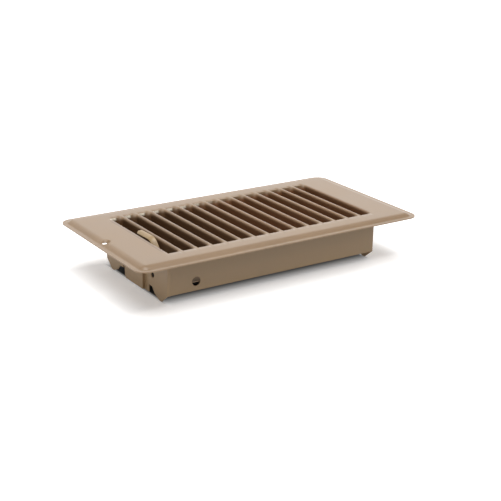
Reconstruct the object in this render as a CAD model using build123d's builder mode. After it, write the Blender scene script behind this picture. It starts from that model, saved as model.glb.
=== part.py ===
from build123d import *
import os
from math import atan2, cos, degrees, radians, sin

# Louvred floor register with a lever-worked damper. Millimetres, +Z up, +X along the length.
# The origin is the middle of the footprint, on the surface that the feet stand on.

os.makedirs("parts", exist_ok=True)

# Faceplate: a flat rim, a bevel up to the panel, and louvres lanced from the panel.
plate_length = 271.0
plate_width = 141.0
plate_corner = 10.0
sheet = 0.9                      # faceplate steel
rim_top = 39.4
rim_width = 3.2
bevel_width = 7.0
panel_rise = 2.2
panel_top = rim_top + panel_rise
rim_under = rim_top - sheet
panel_under = panel_top - sheet
rise_length = plate_length - 2 * rim_width
rise_width = plate_width - 2 * rim_width
rise_corner = plate_corner - rim_width
bevel_taper = degrees(atan2(bevel_width, panel_rise))

# Louvres: strips cut free along their left edge and bent down beside each slot.
slot_count = 15
louvre_pitch = 13.43
slot_half_length = 48.5
shear_gap = 0.4
louvre_angle = 84.0
flat_run = 0.8                   # the part of the strip that stays level
roll_run = 1.5                   # each of the two short steps of the rolled edge
blade_run = louvre_pitch - shear_gap - flat_run - 2 * roll_run
twist_length = 6.0               # each end of a louvre twists back to level over this length
twist_steps = ((0.3, 0.3), (0.65, 0.7), (1.0, 1.0))     # fraction of the length, how far open
last_strip_edge = louvre_pitch * slot_count / 2 + 1.2
field_left = last_strip_edge - louvre_pitch * slot_count + shear_gap
weld_lap = 0.1                   # the strips' ends reach this far into the border
level = 0.01                     # nearly level, because a loft needs a bend in every section

# Screw hole, in the bevel at the lever's end of the plate.
screw_x = -127.8
screw_radius = 2.6
sink_radius = 4.2
sink_angle = 90.0

# Box under the plate: two side walls folded round the corners, and two end plates.
wall = 0.8
box_length = 203.2
box_width = 105.5
fold_radius = 2.5
side_wall_bottom = 8.3
flange_edge_y = 21.5             # where a side wall's folded end stops
weld_flange = 6.5
end_wall_top = panel_under - 1.2 # the end walls pass under the last louvre's rolled root
end_flange_top = end_wall_top - wall - 0.1
joggle_out = 1.8                 # the end weld flange runs out this far, then steps up to the panel
riser_x = box_length / 2 - wall + joggle_out
# a foot's outline from its outer corner to the notch: distance from the middle, height
foot_corners = ((50.5, 7.0), (42.0, 0.0), (38.5, 0.0), (31.0, 3.2), (27.0, 8.0))
notch_top = foot_corners[-1][1]
channel_half_width = 14.1
channel_proud = 1.5              # the end plate's channel stands this far outside the flanges
channel_bottom = 1.5
channel_top = end_flange_top - 2.0
channel_face_x = box_length / 2 + channel_proud
end_plate_width = box_width - 2 * fold_radius
strip_edge_y = 20.5              # a strip of the end plate runs down beside the channel to here
strip_bottom = 1.0
duct_hole_x = 76.6
duct_hole_z = 16.0
duct_hole_radius = 3.75

# Damper: two blades on pivots in the end plates.
pivot_y = 28.0
pivot_z = 18.0
damper_travel = 31.0             # degrees from shut to open
blade_drop = 3.0                 # the blade lies this far below its pivots
blade_sheet = 0.8
blade_outer = 23.3
blade_inner = 27.6
blade_half_length = 97.5
blade_mid = pivot_z - blade_drop
blade_top = blade_mid + blade_sheet / 2
rib_radius = 2.4
rib_half_length = 70.0
ear_half_width = 9.0
ear_round = 5.0
pin_radius = 1.4
pin_head_radius = 2.4
pin_head = 0.8
pin_end_gap = 0.4                # between a pin's end and the outside of the end plate
running_gap = 0.05
bush_radius = 2.1
bush_hole_gap = 0.3              # the folded flange clears the bush by this much
bush_closed_end = 0.3
bush_flange_radius = 4.2
bush_flange = 0.7
bush_recess = 0.6
washer_radius = 3.4
washer_thick = 0.6
washer_gap = 0.2
washer_clearance = 0.15

# Link between the blades, and the rivets it turns on.
crank_radius = 8.0
crank_y = crank_radius * sin(radians(damper_travel / 2))
crank_z = crank_radius * cos(radians(damper_travel / 2))
link_half_width = 3.5
link_thick = 1.0
link_gap = 0.4
link_rivet_radius = 1.5
link_head_radius = 2.5
link_head = 0.7
link_washer_radius = 3.0
link_washer = 0.3

# Control lever, riveted to the near blade and standing up through the first slot. It is a strip
# that follows its right-hand edge and curls down to the left of it.
lever_edge_x = -91.3
lever_thick = 1.1
lever_curl_radius = 6.9
lever_curl_angle = 45.0
lever_bend = 11.5
lever_end_round = 2.2
# the right-hand edge's corners, from the finger tab's far end down to the blade
lever_corners = ((8.8, 42.7), (-14.8, 43.3), (-25.3, 31.6), (-30.0, blade_top))
neck_left_x = -95.5              # the neck is narrower inside the box, to pass the heads of the
neck_wide_z = 34.0               # rivet and pin
neck_narrow_z = 30.0
lever_foot_end = -79.0
lever_foot_near = -34.5
lever_foot_far = -26.0
lever_foot_middle = (lever_foot_near + lever_foot_far) / 2
lever_rivet_spots = [(x, lever_foot_middle) for x in (-88.2, -82.0)]
lever_rivet_radius = 1.6
lever_rivet_head_radius = 2.8
lever_rivet_head = 0.8

inner_length = box_length - 2 * wall
inner_width = box_width - 2 * wall
wall_in = inner_width / 2
flange_in = inner_length / 2
plate_in = flange_in - wall
ear_in = blade_half_length - blade_sheet
link_near_face = -(blade_half_length + link_gap)


def save(part, name):
    part.label = name
    export_step(part, f"parts/{name}.step")


def strip_outline(opened):
    """Points of a louvre's section from its level right edge at 0, 0; opened runs 0 to 1."""
    angle = radians(louvre_angle * opened)
    steps = ((flat_run, 0), (roll_run, angle / 3), (roll_run, 2 * angle / 3), (blade_run, angle))
    top = [(0.0, 0.0)]
    for run, slope in steps:
        x, z = top[-1]
        top.append((x - run * cos(slope), z - run * sin(slope)))
    slopes = [0, angle / 6, angle / 2, 5 * angle / 6, angle]
    under = [(x + sheet * sin(a), z - sheet * cos(a)) for (x, z), a in zip(top, slopes)]
    return top + under[::-1]


# Faceplate ---------------------------------------------------------------------------------
with BuildPart() as panel_hollow:
    with BuildSketch(Plane.XY.offset(rim_under)):
        RectangleRounded(rise_length, rise_width, rise_corner)
    extrude(amount=panel_rise, taper=bevel_taper)
    # the sheet is left thick around the screw hole, where it is dimpled
    with BuildSketch(Plane.XY.offset(rim_under)):
        with Locations((screw_x, 0)):
            Circle(screw_radius + sheet)
    extrude(amount=panel_rise + 1, taper=-sink_angle / 2, mode=Mode.SUBTRACT)

with BuildPart() as louvre:
    half = slot_half_length + weld_lap
    stations = [(half, level)] + [(half - part * twist_length, opened) for part, opened in twist_steps]
    for y, opened in stations + [(-y, opened) for y, opened in stations[::-1]]:
        with BuildSketch(Plane.XZ.offset(y)):
            with BuildLine():
                Polyline(*strip_outline(opened), close=True)
            make_face()
    loft(ruled=True)

with BuildPart() as faceplate:
    with BuildSketch(Plane.XY.offset(rim_under)):
        RectangleRounded(plate_length, plate_width, plate_corner)
    extrude(amount=sheet)
    with BuildSketch(Plane.XY.offset(rim_top)):
        RectangleRounded(rise_length, rise_width, rise_corner)
    extrude(amount=panel_rise, taper=bevel_taper)
    add(panel_hollow.part, mode=Mode.SUBTRACT)
    with Locations((screw_x, 0, panel_top)):
        CounterSinkHole(screw_radius, sink_radius, counter_sink_angle=sink_angle)
    with BuildSketch(Plane.XY.offset(panel_top)):
        with Locations(((field_left + last_strip_edge) / 2, 0)):
            Rectangle(last_strip_edge - field_left, 2 * slot_half_length)
    extrude(amount=-2 * sheet, mode=Mode.SUBTRACT)
    with Locations(*[(last_strip_edge - k * louvre_pitch, 0, panel_top) for k in range(slot_count)]):
        add(louvre.part)
save(faceplate.part, "faceplate")

# Side walls: each is folded round both corners and ends in two feet. They are the same pressing,
# turned end for end, so each has its duct screw hole near its own left end.
with BuildPart() as side_wall:
    with BuildSketch():
        RectangleRounded(box_length, box_width, fold_radius)
        RectangleRounded(inner_length, inner_width, fold_radius - wall, mode=Mode.SUBTRACT)
        with Locations((0, box_width / 2 - flange_edge_y)):
            Rectangle(box_length, box_width, mode=Mode.SUBTRACT)
    extrude(amount=end_flange_top)
    # the long wall between the folds stops short of the floor
    with BuildSketch(Plane.XZ.offset(wall_in - fold_radius)):
        with Locations((0, side_wall_bottom / 2)):
            Rectangle(box_length - 2 * fold_radius, side_wall_bottom)
    extrude(amount=2 * fold_radius, mode=Mode.SUBTRACT)
    # feet, cut back at the outer corner and notched on the inner one
    with BuildSketch(Plane.YZ.offset(-box_length / 2)):
        with BuildLine():
            Polyline((-box_width, -1), (-box_width, side_wall_bottom), (-box_width / 2, side_wall_bottom),
                     *[(-y, z) for y, z in foot_corners], (0, notch_top), (0, -1), close=True)
        make_face()
    extrude(amount=box_length, mode=Mode.SUBTRACT)
    # top flange, welded under the panel
    with BuildSketch(Plane.XY.offset(panel_under)):
        with Locations((0, -(box_width / 2 + weld_flange / 2 - wall / 2))):
            Rectangle(box_length - 4 * fold_radius, weld_flange + wall)
    extrude(amount=-wall)
    with BuildSketch(Plane.XY.offset(end_flange_top)):
        with Locations((0, -(box_width - wall) / 2)):
            Rectangle(box_length - 4 * fold_radius, wall)
    extrude(amount=panel_under - end_flange_top)
    with Locations(Plane.XZ.offset(box_width / 2)):
        with Locations((-duct_hole_x, duct_hole_z)):
            Hole(duct_hole_radius, depth=2 * wall)
    with Locations(Plane.YZ.offset(-box_length / 2)):
        with Locations((-pivot_y, pivot_z)):
            Cylinder(bush_radius + bush_hole_gap, 2 * box_length, mode=Mode.SUBTRACT)
save(side_wall.part, "near_side_wall")

with BuildPart() as far_side_wall:
    with Locations(Rotation(0, 0, 180)):
        add(side_wall.part)
save(far_side_wall.part, "far_side_wall")

# End plates: inside the folded flanges, with a channel pressed out in the middle.
with BuildPart() as left_end_plate:
    with BuildSketch(Plane.YZ.offset(-plate_in)):
        with Locations((0, end_wall_top / 2)):
            Rectangle(end_plate_width, end_wall_top)
    extrude(amount=-wall)
    with BuildSketch(Plane.YZ.offset(-plate_in)):
        with Locations((0, channel_top / 2)):
            Rectangle(2 * channel_half_width, channel_top)
    extrude(amount=plate_in - channel_face_x)
    with BuildSketch(Plane.YZ.offset(-plate_in)):
        with Locations((0, (channel_top - wall) / 2)):
            Rectangle(2 * (channel_half_width - wall), channel_top - wall)
    extrude(amount=plate_in + wall - channel_face_x, mode=Mode.SUBTRACT)
    # joggled top flange, welded under the panel
    with BuildSketch(Plane.XY.offset(end_wall_top)):
        with Locations((-(plate_in + riser_x) / 2, 0)):
            Rectangle(riser_x - plate_in, end_plate_width)
    extrude(amount=-wall)
    with BuildSketch(Plane.XY.offset(end_wall_top - wall)):
        with Locations((-riser_x, 0)):
            Rectangle(wall, end_plate_width)
    extrude(amount=panel_under - end_wall_top + wall)
    with BuildSketch(Plane.XY.offset(panel_under)):
        with Locations((-riser_x - weld_flange / 2, 0)):
            Rectangle(weld_flange, end_plate_width)
    extrude(amount=-wall)
    # the bottom edge: cut away beyond the strips, and lower under the strips and the channel
    with BuildSketch(Plane.YZ.offset(-plate_in)):
        with Locations((-box_width / 2, 0), (box_width / 2, 0)):
            Rectangle(box_width - 2 * strip_edge_y, 2 * notch_top)
        Rectangle(2 * strip_edge_y, 2 * strip_bottom)
        Rectangle(2 * channel_half_width, 2 * channel_bottom)
    extrude(amount=plate_in - 2 * channel_face_x, mode=Mode.SUBTRACT)
    with Locations(Plane.YZ.offset(-plate_in)):
        with Locations((-pivot_y, pivot_z), (pivot_y, pivot_z)):
            Cylinder(bush_radius, 4 * wall, mode=Mode.SUBTRACT)
save(left_end_plate.part, "left_end_plate")

with BuildPart() as right_end_plate:
    add(left_end_plate.part)
    mirror(about=Plane.YZ, mode=Mode.REPLACE)
save(right_end_plate.part, "right_end_plate")

# Pivot bushes: blind nylon bushes pushed into the end plates from inside.
with BuildPart() as pivot_bushes:
    for side in (-1, 1):
        with BuildSketch(Plane.YZ.offset(side * plate_in)):
            with Locations((-pivot_y, pivot_z), (pivot_y, pivot_z)):
                Circle(bush_flange_radius)
        extrude(amount=-side * bush_flange)
        with BuildSketch(Plane.YZ.offset(side * plate_in)):
            with Locations((-pivot_y, pivot_z), (pivot_y, pivot_z)):
                Circle(bush_radius)
        extrude(amount=side * (2 * wall - bush_recess))
        with BuildSketch(Plane.YZ.offset(side * (plate_in - bush_flange))):
            with Locations((-pivot_y, pivot_z), (pivot_y, pivot_z)):
                Circle(pin_radius + running_gap)
        extrude(amount=side * (bush_flange + 2 * wall - bush_recess - bush_closed_end), mode=Mode.SUBTRACT)
save(pivot_bushes.part, "pivot_bushes")

# Damper blades: flat sheet with a rib along it and an ear turned up at each end.
for name, side in (("near", -1), ("far", 1)):
    axle_y = side * pivot_y
    middle_y = axle_y - side * (blade_inner - blade_outer) / 2
    with BuildPart() as damper_blade:
        with BuildSketch(Plane.XY.offset(blade_top)):
            with Locations((0, middle_y)):
                Rectangle(2 * blade_half_length, blade_outer + blade_inner)
        extrude(amount=-blade_sheet)
        # stiffening rib, pressed down along the blade
        with BuildSketch(Plane.YZ.offset(-rib_half_length)):
            with Locations((axle_y, blade_top)):
                Circle(rib_radius)
            with Locations((axle_y, blade_top + rib_radius)):
                Rectangle(2 * rib_radius, 2 * rib_radius, mode=Mode.SUBTRACT)
        extrude(amount=2 * rib_half_length)
        with BuildSketch(Plane.YZ.offset(blade_sheet - rib_half_length)):
            with Locations((axle_y, blade_top)):
                Circle(rib_radius - blade_sheet)
        extrude(amount=2 * (rib_half_length - blade_sheet), mode=Mode.SUBTRACT)
        for end in (-1, 1):
            with BuildSketch(Plane.YZ.offset(end * ear_in)) as ear:
                with Locations((axle_y, blade_mid)):
                    Rectangle(2 * ear_half_width, blade_sheet)
                with Locations((axle_y, pivot_z)):
                    Circle(ear_round)
                if end < 0:
                    with Locations((axle_y + crank_y, pivot_z + crank_z)):
                        Circle(link_half_width)
                make_hull()
                with Locations((axle_y, pivot_z)):
                    Circle(pin_radius, mode=Mode.SUBTRACT)
                if end < 0:
                    with Locations((axle_y + crank_y, pivot_z + crank_z)):
                        Circle(link_rivet_radius, mode=Mode.SUBTRACT)
            extrude(amount=end * blade_sheet)
        if side < 0:
            with Locations(*[(x, y, blade_top) for x, y in lever_rivet_spots]):
                Hole(lever_rivet_radius, depth=2 * blade_sheet)
    save(damper_blade.part, f"{name}_damper_blade")

    with BuildPart() as pivot_pins:
        for end in (-1, 1):
            with BuildSketch(Plane.YZ.offset(end * ear_in)):
                with Locations((axle_y, pivot_z)):
                    Circle(pin_head_radius)
            extrude(amount=-end * pin_head)
            with BuildSketch(Plane.YZ.offset(end * ear_in)):
                with Locations((axle_y, pivot_z)):
                    Circle(pin_radius)
            extrude(amount=end * (flange_in - pin_end_gap - ear_in))
    save(pivot_pins.part, f"{name}_pivot_pins")

    with BuildPart() as washers:
        for end in (-1, 1):
            with BuildSketch(Plane.YZ.offset(end * (blade_half_length + washer_gap))):
                with Locations((axle_y, pivot_z)):
                    Circle(washer_radius)
                    Circle(pin_radius + washer_clearance, mode=Mode.SUBTRACT)
            extrude(amount=end * washer_thick)
    save(washers.part, f"{name}_tension_washers")

    with BuildPart() as link_rivet:
        with BuildSketch(Plane.YZ.offset(link_near_face - link_thick)):
            with Locations((axle_y + crank_y, pivot_z + crank_z)):
                Circle(link_head_radius)
        extrude(amount=-link_head)
        with BuildSketch(Plane.YZ.offset(link_near_face - link_thick)):
            with Locations((axle_y + crank_y, pivot_z + crank_z)):
                Circle(link_rivet_radius)
        extrude(amount=link_thick + link_gap + blade_sheet)
        with BuildSketch(Plane.YZ.offset(-ear_in)):
            with Locations((axle_y + crank_y, pivot_z + crank_z)):
                Circle(link_head_radius)
        extrude(amount=link_head)
    save(link_rivet.part, f"{name}_link_rivet")

# Link bar and its washers, beside the left ears.
with BuildPart() as link_bar:
    with BuildSketch(Plane.YZ.offset(link_near_face)):
        with Locations((crank_y, pivot_z + crank_z)):
            SlotCenterToCenter(2 * pivot_y, 2 * link_half_width)
        with Locations((crank_y - pivot_y, pivot_z + crank_z), (crank_y + pivot_y, pivot_z + crank_z)):
            Circle(link_rivet_radius + running_gap, mode=Mode.SUBTRACT)
    extrude(amount=-link_thick)
save(link_bar.part, "link_bar")

with BuildPart() as link_washers:
    with BuildSketch(Plane.YZ.offset(link_near_face)):
        with Locations((crank_y - pivot_y, pivot_z + crank_z), (crank_y + pivot_y, pivot_z + crank_z)):
            Circle(link_washer_radius)
            Circle(link_rivet_radius + running_gap, mode=Mode.SUBTRACT)
    extrude(amount=link_washer)
save(link_washers.part, "link_washers")

# Control lever: a curled strip bent down into a neck, and a foot riveted to the near blade.
with BuildPart() as control_lever:
    with BuildLine(Plane.YZ.offset(lever_edge_x)) as lever_edge:
        FilletPolyline(*lever_corners, radius=lever_bend)
    tab_end = Plane(origin=lever_edge.line @ 0, x_dir=(1, 0, 0), z_dir=lever_edge.line % 0)
    with BuildSketch(tab_end):
        with BuildLine():
            outer = CenterArc((0, -lever_curl_radius), lever_curl_radius, 90, lever_curl_angle)
            inner = CenterArc((0, -lever_curl_radius), lever_curl_radius - lever_thick, 90, lever_curl_angle)
            Line(outer @ 0, inner @ 0)
            Line(outer @ 1, inner @ 1)
        make_face()
    sweep()
    fillet(control_lever.faces().sort_by(Axis.Y)[-1].edges().sort_by(SortBy.LENGTH)[:2], lever_end_round)
    with BuildSketch(Plane.XZ):
        with BuildLine():
            Polyline((-plate_length, 0), (neck_left_x, 0), (neck_left_x, neck_narrow_z),
                     (neck_left_x + neck_narrow_z - neck_wide_z, neck_wide_z), (-plate_length, neck_wide_z),
                     close=True)
        make_face()
    extrude(amount=plate_width, both=True, mode=Mode.SUBTRACT)
    split(bisect_by=Plane.XY.offset(blade_top), keep=Keep.TOP)
    with BuildSketch(Plane.XY.offset(blade_top)):
        with Locations(((neck_left_x + lever_foot_end) / 2, lever_foot_middle)):
            Rectangle(lever_foot_end - neck_left_x, lever_foot_far - lever_foot_near)
    extrude(amount=lever_thick)
    with Locations(*[(x, y, blade_top + lever_thick) for x, y in lever_rivet_spots]):
        Hole(lever_rivet_radius, depth=2 * lever_thick)
save(control_lever.part, "control_lever")

with BuildPart() as lever_rivets:
    with BuildSketch(Plane.XY.offset(blade_top + lever_thick)):
        with Locations(*lever_rivet_spots):
            Circle(lever_rivet_head_radius)
    extrude(amount=lever_rivet_head)
    with BuildSketch(Plane.XY.offset(blade_top + lever_thick)):
        with Locations(*lever_rivet_spots):
            Circle(lever_rivet_radius)
    extrude(amount=-lever_thick - blade_sheet)
    with BuildSketch(Plane.XY.offset(blade_top - blade_sheet)):
        with Locations(*lever_rivet_spots):
            Circle(lever_rivet_head_radius)
    extrude(amount=-lever_rivet_head)
save(lever_rivets.part, "lever_rivets")
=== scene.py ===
from math import asin, atan2, cos, hypot, pi, radians, sin, sqrt, tan

import bmesh
import bpy
from mathutils import Matrix, Vector


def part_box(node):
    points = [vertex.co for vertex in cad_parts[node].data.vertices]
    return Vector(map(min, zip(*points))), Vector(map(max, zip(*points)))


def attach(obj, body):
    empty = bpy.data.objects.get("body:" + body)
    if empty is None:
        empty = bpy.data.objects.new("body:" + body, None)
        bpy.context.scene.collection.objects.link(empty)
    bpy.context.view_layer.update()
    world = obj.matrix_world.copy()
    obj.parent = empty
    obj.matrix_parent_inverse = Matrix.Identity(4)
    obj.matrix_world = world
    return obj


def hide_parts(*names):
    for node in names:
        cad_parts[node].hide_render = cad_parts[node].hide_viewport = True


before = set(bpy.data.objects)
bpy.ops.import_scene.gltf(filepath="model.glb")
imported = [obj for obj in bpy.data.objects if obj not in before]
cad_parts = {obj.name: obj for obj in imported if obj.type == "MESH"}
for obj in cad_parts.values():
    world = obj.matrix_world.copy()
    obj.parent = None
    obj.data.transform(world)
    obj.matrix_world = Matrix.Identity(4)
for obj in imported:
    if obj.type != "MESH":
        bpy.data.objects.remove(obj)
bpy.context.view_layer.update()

# A louvred floor register. Sizes below are millimetres in the part's frame, and the meshes are
# scaled to metres as they are made.
MM = 0.001

# --- sizes ------------------------------------------------------------------------------------
# They are the CAD model's own, apart from the three marked as this script's.
plate_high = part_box("faceplate")[1]
plate_x = plate_high.x / MM
plate_y = plate_high.y / MM
panel_top = plate_high.z / MM
sheet = 0.9
panel_rise = 2.2
rim_top = panel_top - panel_rise
plate_corner = 10.0
rim_width = 3.2

slot_count = 15
pitch = 13.43
shear_gap = 0.4
slot_half = 48.5
last_edge = pitch * slot_count / 2 + 1.2
louvre_angle = radians(84)
flat_run = 0.8
roll_run = 3.0
twist_length = 6.0

lever_edge_x = -91.3              # the finger strip's right-hand edge
lever_thick = 1.1
lever_curl = 6.9
lever_sweep = radians(45)
lever_bend = 11.5
lever_end_round = 2.2
lever_edge_soft = 0.22            # this script's: the CAD strip's edges are sharp
lever_tip_z = 42.7                # height of the finger tab's far end
lever_corners = ((-14.8, 43.3), (-25.3, 31.6))    # Y and Z of the strip's two bends
lever_root_y = -30.0              # where the strip meets the blade
lever_foot_far = -26.0
lever_foot_round = 2.0            # this script's: the CAD foot's corners are square
neck_left = -95.5
neck_wide = 34.0                  # the neck narrows from this height
neck_narrow = 30.0                # down to this one

screw_x = -127.8
screw_radius = 2.6
sink_radius = 4.3                 # this script's: 4.2 in the CAD model, with a sharp edge


# --- mesh helpers -----------------------------------------------------------------------------
class Net:
    """Vertices and faces, where a vertex asked for twice by the same key is the same vertex."""

    def __init__(self):
        self.points = []
        self.faces = []
        self.known = {}

    def at(self, key, point):
        if key not in self.known:
            self.known[key] = len(self.points)
            self.points.append(point)
        return self.known[key]

    def face(self, *corners):
        ring = [c for i, c in enumerate(corners) if c != corners[i - 1]]
        if len(ring) > 2:
            self.faces.append(ring)

    def object(self, name):
        mesh = bpy.data.meshes.new(name)
        mesh.from_pydata([[c * MM for c in p] for p in self.points], [], self.faces)
        mesh.validate()
        built = bpy.data.objects.new(name, mesh)
        bpy.context.scene.collection.objects.link(built)
        return built


def spread(start, stop, count):
    return [start + (stop - start) * i / count for i in range(count + 1)]


def smooth(t):
    t = min(max(t, 0.0), 1.0)
    return t * t * (3 - 2 * t)


def shade(piece, angle=35.0):
    """Smooth shading, with edges sharper than the angle kept sharp."""
    piece.data.shade_smooth()
    bm = bmesh.new()
    bm.from_mesh(piece.data)
    for edge in bm.edges:
        if len(edge.link_faces) == 2:
            edge.smooth = edge.calc_face_angle() < radians(angle)
    bm.to_mesh(piece.data)
    bm.free()


def apply_modifiers(piece):
    graph = bpy.context.evaluated_depsgraph_get()
    mesh = bpy.data.meshes.new_from_object(piece.evaluated_get(graph))
    piece.modifiers.clear()
    piece.data = mesh


# --- materials --------------------------------------------------------------------------------
def srgb(red, green, blue):
    return tuple((c / 255 / 12.92) if c <= 10 else ((c / 255 + 0.055) / 1.055) ** 2.4
                 for c in (red, green, blue)) + (1.0,)


# Painted shade: the slots' tones darken and brown the faceplate down between the louvres and, in part, on
# the louvres' tops. Their change from left to right is painted light as well.
slot_painted_shade_left = srgb(96, 68, 44)
slot_painted_shade_right = srgb(124, 84, 54)
louvre_painted_shade_share = 0.40          # how much of the slot's tone the louvres' tops take
# Painted highlight: the pale tone at the far end of each slot near the lever.
painted_highlight_tone = (1.0, 0.90, 0.74, 1.0)
# Painted shade: the box walls' colour at the top, under the rim.
box_painted_shade_top = srgb(114, 93, 65)


def smooth_step(nodes, links, value, start, stop, low=0.0, high=1.0):
    """Softly from low to high, as value goes from start to stop."""
    step = nodes.new("ShaderNodeMapRange")
    step.interpolation_type = "SMOOTHSTEP"
    step.inputs["From Min"].default_value = start
    step.inputs["From Max"].default_value = stop
    step.inputs["To Min"].default_value = low
    step.inputs["To Max"].default_value = high
    links.new(value, step.inputs["Value"])
    return step.outputs["Result"]


def calculate(nodes, links, operation, first, second=None):
    """One Math node: its operation on a socket and, where there is one, a socket or a number."""
    node = nodes.new("ShaderNodeMath")
    node.operation = operation
    links.new(first, node.inputs[0])
    if isinstance(second, float):
        node.inputs[1].default_value = second
    elif second is not None:
        links.new(second, node.inputs[1])
    return node.outputs["Value"]


def blend(nodes, links, share, under, over):
    """Colour `under` with `share` of colour `over`; each is a socket or a plain colour."""
    mix = nodes.new("ShaderNodeMix")
    mix.data_type = "RGBA"
    links.new(share, mix.inputs["Factor"])
    for name, colour in (("A", under), ("B", over)):
        if isinstance(colour, tuple):
            mix.inputs[name].default_value = colour
        else:
            links.new(colour, mix.inputs[name])
    return mix.outputs["Result"]


def faceplate_coat_and_painted_light(nodes, links, place, full):
    """The faceplate's colour: browner on the louvres and down between them.

    The browner and darker tones are painted shade, tuned for the look; they are not a known finish.
    Their change from left to right is painted light as well. A small pale corner at the far end of
    each slot near the lever is a painted highlight.
    """
    split = nodes.new("ShaderNodeSeparateXYZ")
    links.new(place.outputs["Object"], split.inputs["Vector"])
    along, across, height = (split.outputs[axis] for axis in "XYZ")
    from_middle = calculate(nodes, links, "ABSOLUTE", across)
    off_centre = calculate(nodes, links, "ABSOLUTE", along)
    in_row = calculate(nodes, links, "LESS_THAN", off_centre, last_edge * MM)
    in_slot = calculate(nodes, links, "LESS_THAN", from_middle, slot_half * MM)
    in_field = calculate(nodes, links, "MULTIPLY", in_row, in_slot)

    # painted light: the slots' tone is lighter and redder towards the right
    rightward = smooth_step(nodes, links, along, -0.055, 0.015)
    tone = blend(nodes, links, rightward, slot_painted_shade_left, slot_painted_shade_right)
    # painted shade on the louvres' tops, across the louvre field
    on_louvre = smooth_step(nodes, links, from_middle, (slot_half - 1.0) * MM, (slot_half - 9.0) * MM)
    on_louvre = calculate(nodes, links, "MULTIPLY", on_louvre, in_row)
    painted_shade_on_louvres = calculate(nodes, links, "MULTIPLY", on_louvre, louvre_painted_shade_share)
    coat = blend(nodes, links, painted_shade_on_louvres, full, tone)
    # painted shade down between the louvres, below the panel's top
    painted_shade_deep = smooth_step(nodes, links, height, (panel_top - 0.3) * MM, (panel_top - 3.2) * MM)
    coat = blend(nodes, links, calculate(nodes, links, "MULTIPLY", painted_shade_deep, in_field), coat, tone)

    # painted highlight: a pale patch at the far end of each slot, on its left side, on the slots towards
    # the lever
    # pitches to the left of the first louvre's right edge: its fraction is the place in a slot
    cell = nodes.new("ShaderNodeMapRange")
    cell.clamp = False
    cell.inputs["From Min"].default_value = last_edge * MM
    cell.inputs["From Max"].default_value = (last_edge - pitch) * MM
    links.new(along, cell.inputs["Value"])
    corner = in_field
    for value, start, stop in ((calculate(nodes, links, "FRACT", cell.outputs["Result"]), 0.50, 0.66),
                               (across, (slot_half - 3.0) * MM, (slot_half - 1.8) * MM),
                               (along, 0.020, -0.040),
                               (height, (panel_top - 2.6) * MM, (panel_top - 1.2) * MM)):
        corner = calculate(nodes, links, "MULTIPLY", corner, smooth_step(nodes, links, value, start, stop))
    return blend(nodes, links, corner, coat, painted_highlight_tone)


def box_coat(nodes, links, place, full):
    """The box's colour, darkening towards the rim.

    This is tuned for the look: it stands in for shading under the rim that the lights here do not
    give, so it is in the colour whatever the light.
    """
    split = nodes.new("ShaderNodeSeparateXYZ")
    links.new(place.outputs["Object"], split.inputs["Vector"])
    under_rim = smooth_step(nodes, links, split.outputs["Z"], 0.004, 0.036)
    return blend(nodes, links, under_rim, full, box_painted_shade_top)


def new_material(name, metallic, specular):
    """A material, its nodes and links, its shader, and the object coordinates to draw from."""
    material = bpy.data.materials.new(name)
    material.use_nodes = True
    nodes, links = material.node_tree.nodes, material.node_tree.links
    shader = nodes["Principled BSDF"]
    shader.inputs["Metallic"].default_value = metallic
    shader.inputs["Specular IOR Level"].default_value = specular
    return material, nodes, links, shader, nodes.new("ShaderNodeTexCoord")


def uneven_gloss(nodes, links, shader, pattern, smoothest, roughest):
    """Roughness that follows the pattern between these two values."""
    gloss = nodes.new("ShaderNodeMapRange")
    gloss.inputs["To Min"].default_value = smoothest
    gloss.inputs["To Max"].default_value = roughest
    links.new(pattern.outputs["Fac"], gloss.inputs["Value"])
    links.new(gloss.outputs["Result"], shader.inputs["Roughness"])


def fine_bump(nodes, links, shader, pattern, strength, depth):
    """Relief of this depth in millimetres, from the pattern."""
    bump = nodes.new("ShaderNodeBump")
    bump.inputs["Strength"].default_value = strength
    bump.inputs["Distance"].default_value = depth * MM
    links.new(pattern.outputs["Fac"], bump.inputs["Height"])
    links.new(bump.outputs["Normal"], shader.inputs["Normal"])


def two_tones(nodes, links, pattern, colour, darker, lighter, start=0.0, stop=1.0):
    """The colour, varied by the pattern between two multiples of itself."""
    ramp = nodes.new("ShaderNodeValToRGB")
    for stage, place, factor in zip(ramp.color_ramp.elements, (start, stop), (darker, lighter)):
        stage.position = place
        stage.color = tuple(min(1.0, c * factor) for c in colour[:3]) + (1.0,)
    links.new(pattern.outputs["Fac"], ramp.inputs["Fac"])
    return ramp.outputs["Color"]


def painted_metal(name, colour, roughness, layers=None):
    """Baked enamel on steel: slightly cloudy colour, fine orange peel, uneven gloss."""
    shift = 0.06                      # how far the colour varies either way
    orange_peel = 0.02                # depth in millimetres
    material, nodes, links, shader, place = new_material(name, metallic=0.0, specular=0.45)
    cloud = nodes.new("ShaderNodeTexNoise")
    cloud.inputs["Scale"].default_value = 22.0
    cloud.inputs["Detail"].default_value = 5.0
    cloud.inputs["Roughness"].default_value = 0.6
    links.new(place.outputs["Object"], cloud.inputs["Vector"])
    coat = two_tones(nodes, links, cloud, colour, 1 - shift, 1 + shift, 0.3, 0.7)
    # the layers paint shade and highlights into the enamel's colour
    if layers:
        coat = layers(nodes, links, place, coat)
    links.new(coat, shader.inputs["Base Color"])
    uneven_gloss(nodes, links, shader, cloud, roughness - 0.07, roughness + 0.09)
    peel = nodes.new("ShaderNodeTexNoise")
    peel.inputs["Scale"].default_value = 900.0
    peel.inputs["Detail"].default_value = 2.0
    links.new(place.outputs["Object"], peel.inputs["Vector"])
    fine_bump(nodes, links, shader, peel, 0.25, orange_peel)
    return material


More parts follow.
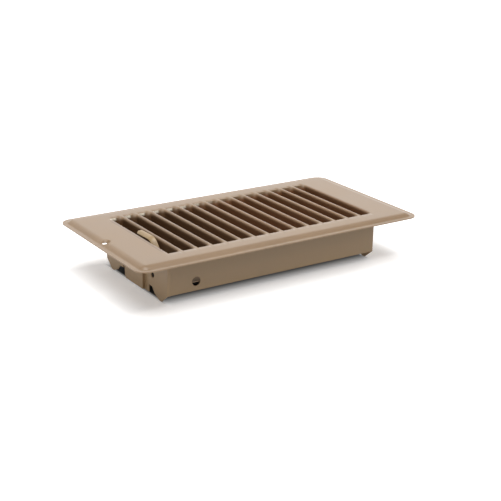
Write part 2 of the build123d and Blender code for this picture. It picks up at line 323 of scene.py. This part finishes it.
def bare_metal(name, colour, roughness=0.32):
    """Zinc-plated or blued steel: fine random brushing and a slightly blotchy plate."""
    material, nodes, links, shader, place = new_material(name, metallic=1.0, specular=0.5)
    stretch = nodes.new("ShaderNodeMapping")
    stretch.inputs["Scale"].default_value = (150.0, 2500.0, 2500.0)
    links.new(place.outputs["Object"], stretch.inputs["Vector"])
    grain = nodes.new("ShaderNodeTexNoise")
    grain.inputs["Scale"].default_value = 1.0
    grain.inputs["Detail"].default_value = 4.0
    links.new(stretch.outputs["Vector"], grain.inputs["Vector"])
    blotch = nodes.new("ShaderNodeTexNoise")
    blotch.inputs["Scale"].default_value = 160.0
    links.new(place.outputs["Object"], blotch.inputs["Vector"])
    tone = two_tones(nodes, links, blotch, colour, 0.86, 1.1, 0.3, 0.7)
    links.new(tone, shader.inputs["Base Color"])
    uneven_gloss(nodes, links, shader, grain, roughness - 0.1, roughness + 0.14)
    return material


def moulded_plastic(name, colour, roughness):
    """Moulded nylon: fine spark-eroded texture and slightly uneven gloss."""
    material, nodes, links, shader, place = new_material(name, metallic=0.0, specular=0.08)
    grain = nodes.new("ShaderNodeTexNoise")
    grain.inputs["Scale"].default_value = 1600.0
    grain.inputs["Detail"].default_value = 3.0
    links.new(place.outputs["Object"], grain.inputs["Vector"])
    tone = two_tones(nodes, links, grain, colour, 0.8, 1.25)
    links.new(tone, shader.inputs["Base Color"])
    uneven_gloss(nodes, links, shader, grain, roughness - 0.1, roughness + 0.1)
    fine_bump(nodes, links, shader, grain, 0.3, 0.03)
    return material


# The faceplate's colour carries painted shade and a painted highlight; the box's carries painted shade
# under the rim.
tan_top = painted_metal("tan_enamel_faceplate", srgb(143, 118, 91), roughness=0.36, layers=faceplate_coat_and_painted_light)
tan_box = painted_metal("tan_enamel_box", srgb(144, 119, 87), roughness=0.42, layers=box_coat)
tan_blade = painted_metal("tan_enamel_blades", srgb(132, 107, 80), roughness=0.45)
tan_lever = painted_metal("tan_enamel_lever", srgb(162, 137, 101), roughness=0.34)
zinc = bare_metal("zinc_plated_steel", (0.6, 0.59, 0.56))
blued = bare_metal("blued_spring_steel", (0.2, 0.2, 0.21), roughness=0.38)
nylon = moulded_plastic("black_nylon", (0.012, 0.009, 0.007), roughness=0.7)


# --- faceplate --------------------------------------------------------------------------------
def rim_profile(inset):
    """Height of the plate's top this far in from its edge: a flat rim, then a rounded step up."""
    if inset <= rim_width:
        return rim_top
    t = (inset - rim_width) / (plate_corner - rim_width)
    if t >= 1:
        return panel_top
    # steepest just inside the rim, then a long soft shoulder
    toe = 0.16
    rise = t * t / (2 * toe) if t < toe else t - toe / 2
    full = 1 - toe / 2
    share = rise / full
    return rim_top + panel_rise * (1 - (1 - share) ** 2.1)


def plate_height(x, y):
    dx = abs(x) - (plate_x - plate_corner)
    dy = abs(y) - (plate_y - plate_corner)
    if dx > 0 and dy > 0:
        inset = plate_corner - hypot(dx, dy)
    else:
        inset = plate_corner - max(dx, dy)
    z = rim_profile(inset)
    # dimple pressed in round the screw hole
    reach = hypot(x - screw_x, y)
    if reach < sink_radius + 1.0:
        cone = panel_top - (sink_radius - reach)
        cone = max(cone, rim_top + 0.05)
        ease = 0.5                    # the cone's edge is rounded over this height
        gap = (z - cone) / ease
        if gap > 1:
            z = cone
        elif gap > -1:
            z = z - ease * (gap + 1) ** 2 / 4
    return z


def louvre_section(opened):
    """Stations along a louvre's top face from its right edge: how far left and down at each."""
    angle = louvre_angle * opened
    run = pitch - shear_gap
    stops = spread(0.0, flat_run, 2) + spread(flat_run, flat_run + roll_run, 8)[1:] + \
        spread(flat_run + roll_run, run, 5)[1:]
    steps = 60
    path = [(0.0, 0.0)]
    for i in range(steps):
        s = (i + 0.5) / steps * run
        slope = angle * smooth((s - flat_run) / roll_run)
        x, z = path[-1]
        path.append((x - cos(slope) * run / steps, z - sin(slope) * run / steps))
    section = []
    for stop in stops:
        place = stop / run * steps
        i = min(int(place), steps - 1)
        part = place - i
        section.append((path[i][0] + (path[i + 1][0] - path[i][0]) * part,
                        path[i][1] + (path[i + 1][1] - path[i][1]) * part))
    return stops, section


def build_faceplate():
    net = Net()
    core_x = plate_x - plate_corner
    core_y = plate_y - plate_corner
    stops = louvre_section(0.0)[0]

    # grid lines across the plate: the louvres' stations, then the borders
    columns = []
    for k in range(slot_count):
        right = last_edge - k * pitch
        columns += [right - s for s in stops]
    field_left = min(columns)
    patch = 7.0                       # half of the square round the screw hole
    patch_in = -screw_x - patch       # its inner side, from the middle of the plate
    patch_inset = plate_x + screw_x - patch
    left_lines = spread(-core_x, -patch_in, 3) + spread(-patch_in, field_left, 8)[1:-1]
    right_lines = spread(last_edge, patch_in, 6)[1:] + spread(patch_in, core_x, 3)[1:]
    xs = sorted(set(round(v, 5) for v in left_lines + columns + right_lines))
    patch_rows = spread(-patch, patch, 8)
    outer_rows = [13.0, 20.0, 28.0, 36.0] + spread(slot_half - twist_length, slot_half, 12) + [54.0, core_y]
    ys = sorted(set(round(v, 5) for v in [-y for y in outer_rows] + patch_rows + outer_rows))

    insets = [0.0, 0.25, patch_inset] + spread(patch_inset, rim_width, 3)[1:] + \
        spread(rim_width, plate_corner, 14)[1:]
    insets = sorted(set(round(v, 5) for v in insets))

    def plan(x, y):
        return net.at((round(x, 4), round(y, 4)), (x, y, plate_height(x, y)))

    def in_patch(x0, x1, y0, y1):
        return abs((x0 + x1) / 2 - screw_x) < patch and abs((y0 + y1) / 2) < patch

    # flat panel round the louvre field
    edge_low, edge_high = round(-slot_half, 5), round(slot_half, 5)
    for i in range(len(xs) - 1):
        for j in range(len(ys) - 1):
            x0, x1, y0, y1 = xs[i], xs[i + 1], ys[j], ys[j + 1]
            in_columns = x0 > field_left - 0.01 and x1 < last_edge + 0.01
            in_rows = y0 >= edge_low and y1 <= edge_high
            if (in_columns and in_rows) or in_patch(x0, x1, y0, y1):
                continue
            net.face(plan(x0, y0), plan(x1, y0), plan(x1, y1), plan(x0, y1))

    # rim and bevel along the four sides
    for sign in (-1, 1):
        for a, b in zip(insets[:-1], insets[1:]):
            for x0, x1 in zip(xs[:-1], xs[1:]):
                y0, y1 = sign * (plate_y - a), sign * (plate_y - b)
                ring = [plan(x0, y0), plan(x1, y0), plan(x1, y1), plan(x0, y1)]
                net.face(*(ring if sign < 0 else ring[::-1]))
            for y0, y1 in zip(ys[:-1], ys[1:]):
                x0, x1 = sign * (plate_x - a), sign * (plate_x - b)
                if in_patch(x0, x1, y0, y1):
                    continue
                ring = [plan(x0, y1), plan(x0, y0), plan(x1, y0), plan(x1, y1)]
                net.face(*(ring if sign < 0 else ring[::-1]))
    # the four rounded corners
    turns = spread(0, pi / 2, 12)
    for sx in (-1, 1):
        for sy in (-1, 1):
            def corner(inset, turn):
                r = plate_corner - inset
                return plan(sx * (core_x + r * cos(turn)), sy * (core_y + r * sin(turn)))
            for a, b in zip(insets[:-1], insets[1:]):
                for t0, t1 in zip(turns[:-1], turns[1:]):
                    ring = [corner(a, t0), corner(a, t1), corner(b, t1), corner(b, t0)]
                    net.face(*(ring if sx * sy > 0 else ring[::-1]))

    # dimple: rings from the square to the screw hole
    lines = set(xs + [a - plate_x for a in insets])
    edge_x = sorted(v for v in lines if abs(v - screw_x) < patch + 0.001)
    near = [(x, -patch) for x in edge_x]
    right = [(edge_x[-1], y) for y in patch_rows[1:]]
    far = [(x, patch) for x in edge_x[::-1][1:]]
    left = [(edge_x[0], y) for y in patch_rows[::-1][1:-1]]
    loop = near + right + far + left
    rings = [[plan(x, y) for x, y in loop]]
    for r in spread(screw_radius + 4.0, screw_radius, 10):
        ring = []
        for x, y in loop:
            turn = atan2(y, x - screw_x)
            ring.append(plan(screw_x + r * cos(turn), r * sin(turn)))
        rings.append(ring)
    for outer, inner in zip(rings[:-1], rings[1:]):
        for i in range(len(loop)):
            net.face(outer[i - 1], outer[i], inner[i], inner[i - 1])

    # louvres
    field_rows = [y for y in ys if edge_low <= y <= edge_high]
    sections = {}
    for y in field_rows:
        shut = max(0.0, 1 - (slot_half - abs(y)) / twist_length)
        opened = 1 - shut ** 2.4
        sections[y] = louvre_section(opened)[1]
    for k in range(slot_count):
        right = last_edge - k * pitch

        def strip(i, y):
            x, z = sections[y][i]
            if abs(y) >= slot_half - 0.001 or (k == 0 and i == 0):
                return plan(right - stops[i], y)
            return net.at((k, i, round(y, 4)), (right + x, y, panel_top + z))

        for i in range(len(stops) - 1):
            for y0, y1 in zip(field_rows[:-1], field_rows[1:]):
                net.face(strip(i + 1, y0), strip(i, y0), strip(i, y1), strip(i + 1, y1))

    plate = net.object("faceplate_pressing")
    thick = plate.modifiers.new("sheet", "SOLIDIFY")
    thick.thickness = sheet * MM
    thick.offset = -1
    thick.use_quality_normals = True
    soft = plate.modifiers.new("edges", "BEVEL")
    soft.width = 0.18 * MM
    soft.segments = 2
    soft.limit_method = "ANGLE"
    soft.angle_limit = radians(55)
    apply_modifiers(plate)
    shade(plate, 50)
    plate.data.materials.append(tan_top)
    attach(plate, "register_frame")
    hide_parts("faceplate")


build_faceplate()


# --- control lever ----------------------------------------------------------------------------
def rounded_path(corners, bend, steps=8):
    """Points along a bent line, with each inner corner turned into an arc."""
    path = [Vector(corners[0])]
    for before, corner, after in zip(corners[:-2], corners[1:-1], corners[2:]):
        corner = Vector(corner)
        back = (Vector(before) - corner).normalized()
        on = (Vector(after) - corner).normalized()
        half_turn = (pi - back.angle(on)) / 2
        reach = bend * tan(half_turn)
        centre = corner + (back + on).normalized() * bend / cos(half_turn)
        start = corner + back * reach - centre
        stop = corner + on * reach - centre
        whole = start.angle(stop)
        for i in range(steps + 1):
            turn = whole * i / steps
            path.append(centre + (start * sin(whole - turn) + stop * sin(turn)) / sin(whole))
    path.append(Vector(corners[-1]))
    return path


def build_lever():
    """A strip that follows its right-hand edge and curls down to the left of it, on a flat foot."""
    low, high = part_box("control_lever")
    foot_top = low.z / MM + lever_thick
    blade_top = low.z / MM
    corners = ((high.y / MM, lever_tip_z), *lever_corners, (lever_root_y, blade_top))
    coarse = rounded_path(corners, lever_bend)
    path = [coarse[0]]
    ring_spacing = 0.8
    for stop in coarse[1:]:
        pieces = max(1, int((stop - path[-1]).length / ring_spacing))
        start = path[-1]
        path += [start.lerp(stop, i / pieces) for i in range(1, pieces + 1)]
    net = Net()
    gone = 0.0
    rings = []
    steps_across = 10
    soft = lever_edge_soft
    inner = lever_curl - lever_thick
    for i, point in enumerate(path):
        on = (path[min(i + 1, len(path) - 1)] - path[max(i - 1, 0)]).normalized()
        down = Vector((-on.y, on.x))                      # towards the curl's centre
        if i:
            gone += (point - path[i - 1]).length
        # the tab's end is rounded off
        inset = 0.0
        if gone < lever_end_round:
            inset = lever_end_round - sqrt(lever_end_round ** 2 - (lever_end_round - gone) ** 2)
        first = inset / lever_curl
        last = lever_sweep - inset / lever_curl
        # the neck is narrower inside the box
        drop = smooth((neck_wide - point.y) / (neck_wide - neck_narrow))
        narrow = asin((lever_edge_x - neck_left) / lever_curl)
        last = last + (narrow - last) * drop
        first, last = min(first, lever_sweep / 2), max(last, lever_sweep / 2)
        ring = []
        top = spread(first + soft / lever_curl, last - soft / lever_curl, steps_across)
        under = spread(last - soft / inner, first + soft / inner, steps_across)
        outline = [(lever_curl, a) for a in top]
        outline += [(lever_curl - soft, last), (inner + soft, last)]
        outline += [(inner, a) for a in under]
        outline += [(inner + soft, first), (lever_curl - soft, first)]
        for j, (radius, turn) in enumerate(outline):
            x = lever_edge_x - radius * sin(turn)
            depth = lever_curl - radius * cos(turn)
            place = point + down * depth
            if place.y < blade_top:
                place = place - on * ((place.y - blade_top) / on.y)
            ring.append(net.at((i, j), (x, place.x, place.y)))
        rings.append(ring)
    for a, b in zip(rings[:-1], rings[1:]):
        for j in range(len(a)):
            net.face(a[j - 1], a[j], b[j], b[j - 1])
    net.faces.append(rings[0][::-1])
    net.faces.append(rings[-1])
    tab = net.object("lever_strip")
    bm = bmesh.new()
    bm.from_mesh(tab.data)
    # foot: a plate with its two right-hand corners rounded
    near, far = low.y / MM, lever_foot_far
    left, right = neck_left, high.x / MM
    middle = Vector((left + right, near + far, blade_top + foot_top)) / 2
    extent = Vector((right - left, far - near, foot_top - blade_top))
    base = bmesh.ops.create_cube(bm, size=1.0)["verts"]
    for v in base:
        v.co = (middle + v.co * extent) * MM
    upright = [e for e in {e for v in base for e in v.link_edges}
               if abs(e.verts[0].co.z - e.verts[1].co.z) > 0.5 * MM and e.verts[0].co.x > middle.x * MM]
    bmesh.ops.bevel(bm, geom=upright, offset=lever_foot_round * MM, segments=6, profile=0.5, affect="EDGES")
    bmesh.ops.recalc_face_normals(bm, faces=bm.faces)
    bm.to_mesh(tab.data)
    bm.free()
    shade(tab, 40)
    tab.data.materials.append(tan_lever)
    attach(tab, "near_damper")
    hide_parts("control_lever")


build_lever()


# --- the other pieces: the CAD shapes with their edges eased --------------------------------------
def eased(node, body, material, width):
    """A copy of a CAD node's shape, with its sharp edges rounded by a small bevel."""
    piece = bpy.data.objects.new(node + "_eased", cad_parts[node].data.copy())
    piece.matrix_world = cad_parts[node].matrix_world.copy()
    bpy.context.scene.collection.objects.link(piece)
    bm = bmesh.new()
    bm.from_mesh(piece.data)
    bmesh.ops.remove_doubles(bm, verts=bm.verts, dist=0.002 * MM)
    bmesh.ops.dissolve_limit(bm, angle_limit=radians(0.5), verts=bm.verts, edges=bm.edges)
    bm.to_mesh(piece.data)
    bm.free()
    shade(piece, 40)
    soft = piece.modifiers.new("edges", "BEVEL")
    soft.width = width * MM
    soft.segments = 2
    soft.limit_method = "ANGLE"
    soft.angle_limit = radians(50)
    flat = piece.modifiers.new("flat faces stay flat", "WEIGHTED_NORMAL")
    flat.weight = 100
    flat.keep_sharp = True
    apply_modifiers(piece)
    piece.data.materials.clear()
    piece.data.materials.append(material)
    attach(piece, body)
    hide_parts(node)


finishes = (
    ("near_side_wall", "register_frame", "box_paint", tan_box, 0.2),
    ("far_side_wall", "register_frame", "box_paint", tan_box, 0.2),
    ("left_end_plate", "register_frame", "box_paint", tan_box, 0.2),
    ("right_end_plate", "register_frame", "box_paint", tan_box, 0.2),
    ("pivot_bushes", "register_frame", "bush_nylon", nylon, 0.1),
    ("near_damper_blade", "near_damper", "blade_paint", tan_blade, 0.2),
    ("far_damper_blade", "far_damper", "blade_paint", tan_blade, 0.2),
    ("near_pivot_pins", "near_damper", "plated_steel", zinc, 0.2),
    ("far_pivot_pins", "far_damper", "plated_steel", zinc, 0.2),
    ("near_tension_washers", "near_damper", "spring_steel", blued, 0.1),
    ("far_tension_washers", "far_damper", "spring_steel", blued, 0.1),
    ("lever_rivets", "near_damper", "plated_steel", zinc, 0.35),
    ("near_link_rivet", "near_damper", "plated_steel", zinc, 0.3),
    ("far_link_rivet", "far_damper", "plated_steel", zinc, 0.3),
    ("link_bar", "damper_link", "plated_steel", zinc, 0.15),
    ("link_washers", "damper_link", "plated_steel", zinc, 0.08),
)
for node, body, slot, material, width in finishes:
    eased(node, body, material, width)


# --- floor, light and camera ------------------------------------------------------------------
def build_floor():
    """A floor that glows as a light table does, with painted shadow near and under the box.

    The glow comes up quickly in front of the box and at its two ends, and a little further off
    behind it, and the floor's colour darkens towards the box with it. Distances in here are metres.
    """
    half_floor = 12.0
    corners = [(-half_floor, -half_floor, 0), (half_floor, -half_floor, 0),
               (half_floor, half_floor, 0), (-half_floor, half_floor, 0)]
    floor_mesh = bpy.data.meshes.new("floor")
    floor_mesh.from_pydata(corners, [], [(0, 1, 2, 3)])
    floor = bpy.data.objects.new("floor", floor_mesh)
    bpy.context.scene.collection.objects.link(floor)

    material, nodes, links, shader, place = new_material("pale_floor", metallic=0.0, specular=0.1)
    shader.inputs["Roughness"].default_value = 0.9
    split = nodes.new("ShaderNodeSeparateXYZ")
    links.new(place.outputs["Object"], split.inputs["Vector"])
    from_middle = calculate(nodes, links, "ABSOLUTE", split.outputs["X"])
    shadow_middle = 0.004
    off_middle = calculate(nodes, links, "SUBTRACT", split.outputs["Y"], shadow_middle)
    off_middle = calculate(nodes, links, "ABSOLUTE", off_middle)
    ends = nodes.new("ShaderNodeMix")
    ends.inputs["Factor"].default_value = 0.15
    links.new(smooth_step(nodes, links, from_middle, 0.0985, 0.1030), ends.inputs["A"])
    links.new(smooth_step(nodes, links, from_middle, 0.100, 0.165), ends.inputs["B"])
    sides = smooth_step(nodes, links, off_middle, 0.036, 0.058)
    # painted shadow: the floor's glow falls to nothing near and under the box
    glow = calculate(nodes, links, "MAXIMUM", ends.outputs["Result"], sides)
    full_glow = 0.42
    links.new(calculate(nodes, links, "MULTIPLY", glow, full_glow), shader.inputs["Emission Strength"])
    shader.inputs["Emission Color"].default_value = (1.0, 1.0, 1.0, 1)
    # painted shadow: the floor's colour goes dark under the box and pale away from it
    painted_shadow_grey = nodes.new("ShaderNodeMapRange")
    painted_shadow_grey.inputs["To Min"].default_value = 0.05
    painted_shadow_grey.inputs["To Max"].default_value = 0.9
    links.new(glow, painted_shadow_grey.inputs["Value"])
    links.new(painted_shadow_grey.outputs["Result"], shader.inputs["Base Color"])
    floor_mesh.materials.append(material)


def build_studio():
    """White walls: a bright band low down behind the object, dim overhead and on the camera's side."""
    world = bpy.data.worlds.new("studio")
    world.use_nodes = True
    nodes, links = world.node_tree.nodes, world.node_tree.links
    heading = nodes.new("ShaderNodeTexCoord")
    facing = nodes.new("ShaderNodeVectorMath")
    facing.operation = "DOT_PRODUCT"
    facing.inputs[1].default_value = Vector((0.62, 0.78, 0.0)).normalized()
    links.new(heading.outputs["Generated"], facing.inputs[0])
    behind = smooth_step(nodes, links, facing.outputs["Value"], 0.1, 0.9, 0.0, 1.35)
    split = nodes.new("ShaderNodeSeparateXYZ")
    links.new(heading.outputs["Generated"], split.inputs["Vector"])
    band = smooth_step(nodes, links, split.outputs["Z"], 0.42, 0.68, 1.25, 0.08)
    dimmest = 0.10
    lit = calculate(nodes, links, "ADD", calculate(nodes, links, "MULTIPLY", behind, band), dimmest)
    links.new(lit, nodes["Background"].inputs["Strength"])
    nodes["Background"].inputs["Color"].default_value = (1.0, 1.0, 1.0, 1)
    bpy.context.scene.world = world


def build_light(name, energy, width, towards):
    """A distant light this many degrees wide, shining towards a direction."""
    sun = bpy.data.lights.new(name, "SUN")
    sun.energy = energy
    sun.angle = radians(width)
    holder = bpy.data.objects.new(name, sun)
    holder.rotation_euler = Vector(towards).to_track_quat("-Z", "Y").to_euler()
    bpy.context.scene.collection.objects.link(holder)


def build_camera():
    """The camera: how it is turned, its lens, and where it stands in metres."""
    yaw, pitch_down, roll = radians(34.10), radians(19.93), radians(1.32)
    ahead = Vector((sin(yaw) * cos(pitch_down), cos(yaw) * cos(pitch_down), -sin(pitch_down)))
    side = ahead.cross(Vector((0, 0, 1))).normalized()
    above = side.cross(ahead)
    rightward = cos(roll) * side + sin(roll) * above
    upward = cos(roll) * above - sin(roll) * side
    lens = bpy.data.cameras.new("camera")
    lens.sensor_width = 36.0
    lens.lens = 80.765
    camera = bpy.data.objects.new("camera", lens)
    turn = Matrix((rightward, upward, -ahead)).transposed().to_4x4()
    camera.matrix_world = Matrix.Translation((-0.4974, -0.7482, 0.3367)) @ turn
    bpy.context.scene.collection.objects.link(camera)
    bpy.context.scene.camera = camera


build_floor()
build_studio()
build_light("overhead", 2.8, 58, (0.04, 0.14, -1.0))
build_light("lamp", 0.5, 14, (-0.06, -0.10, -1.0))
build_light("side_glow", 0.6, 20, (1.0, 0.15, -0.05))
build_camera()
bpy.context.scene.view_settings.view_transform = "Standard"
